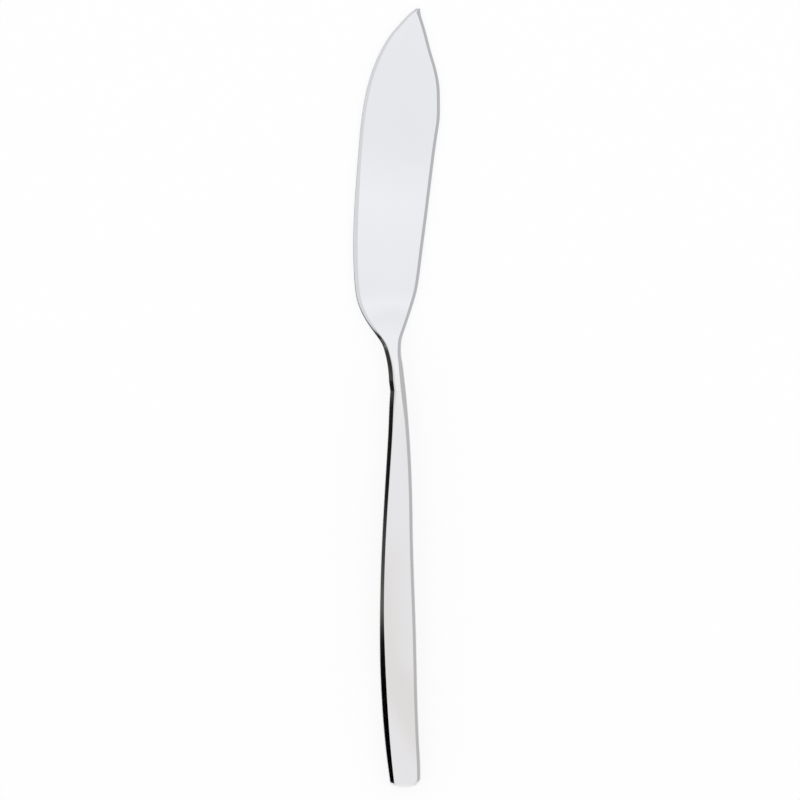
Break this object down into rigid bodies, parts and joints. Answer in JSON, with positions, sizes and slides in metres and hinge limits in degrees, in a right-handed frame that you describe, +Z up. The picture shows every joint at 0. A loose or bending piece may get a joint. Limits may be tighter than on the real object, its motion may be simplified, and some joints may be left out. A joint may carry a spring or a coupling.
{
  "type": "fish knife",
  "caption": "Table fish knife with a broad curved blade, a waisted neck and a slim hollow handle, in polished stainless steel.",
  "frame": {"origin": "middle of the bounding box in X and Y, at the table's height", "axes": "+Y runs along the knife from the handle's end to the blade's tip, +Z is up from the table, and +X is the side of the spine"},
  "size_m": [0.0232, 0.208, 0.0073],
  "materials": {
    "blade_steel": "polished, with fine lengthwise polishing lines",
    "handle_steel": "polished, slightly softened by use",
    "brazed_seam": "dressed flush and polished",
    "set_filling": "matte, set cement"
  },
  "bodies": {
    "root": {"blade": "blade_steel", "neck_seam": "brazed_seam", "handle_upper_shell": "handle_steel", "handle_lower_shell": "handle_steel", "handle_filling": "set_filling"}
  },
  "joints": []
}
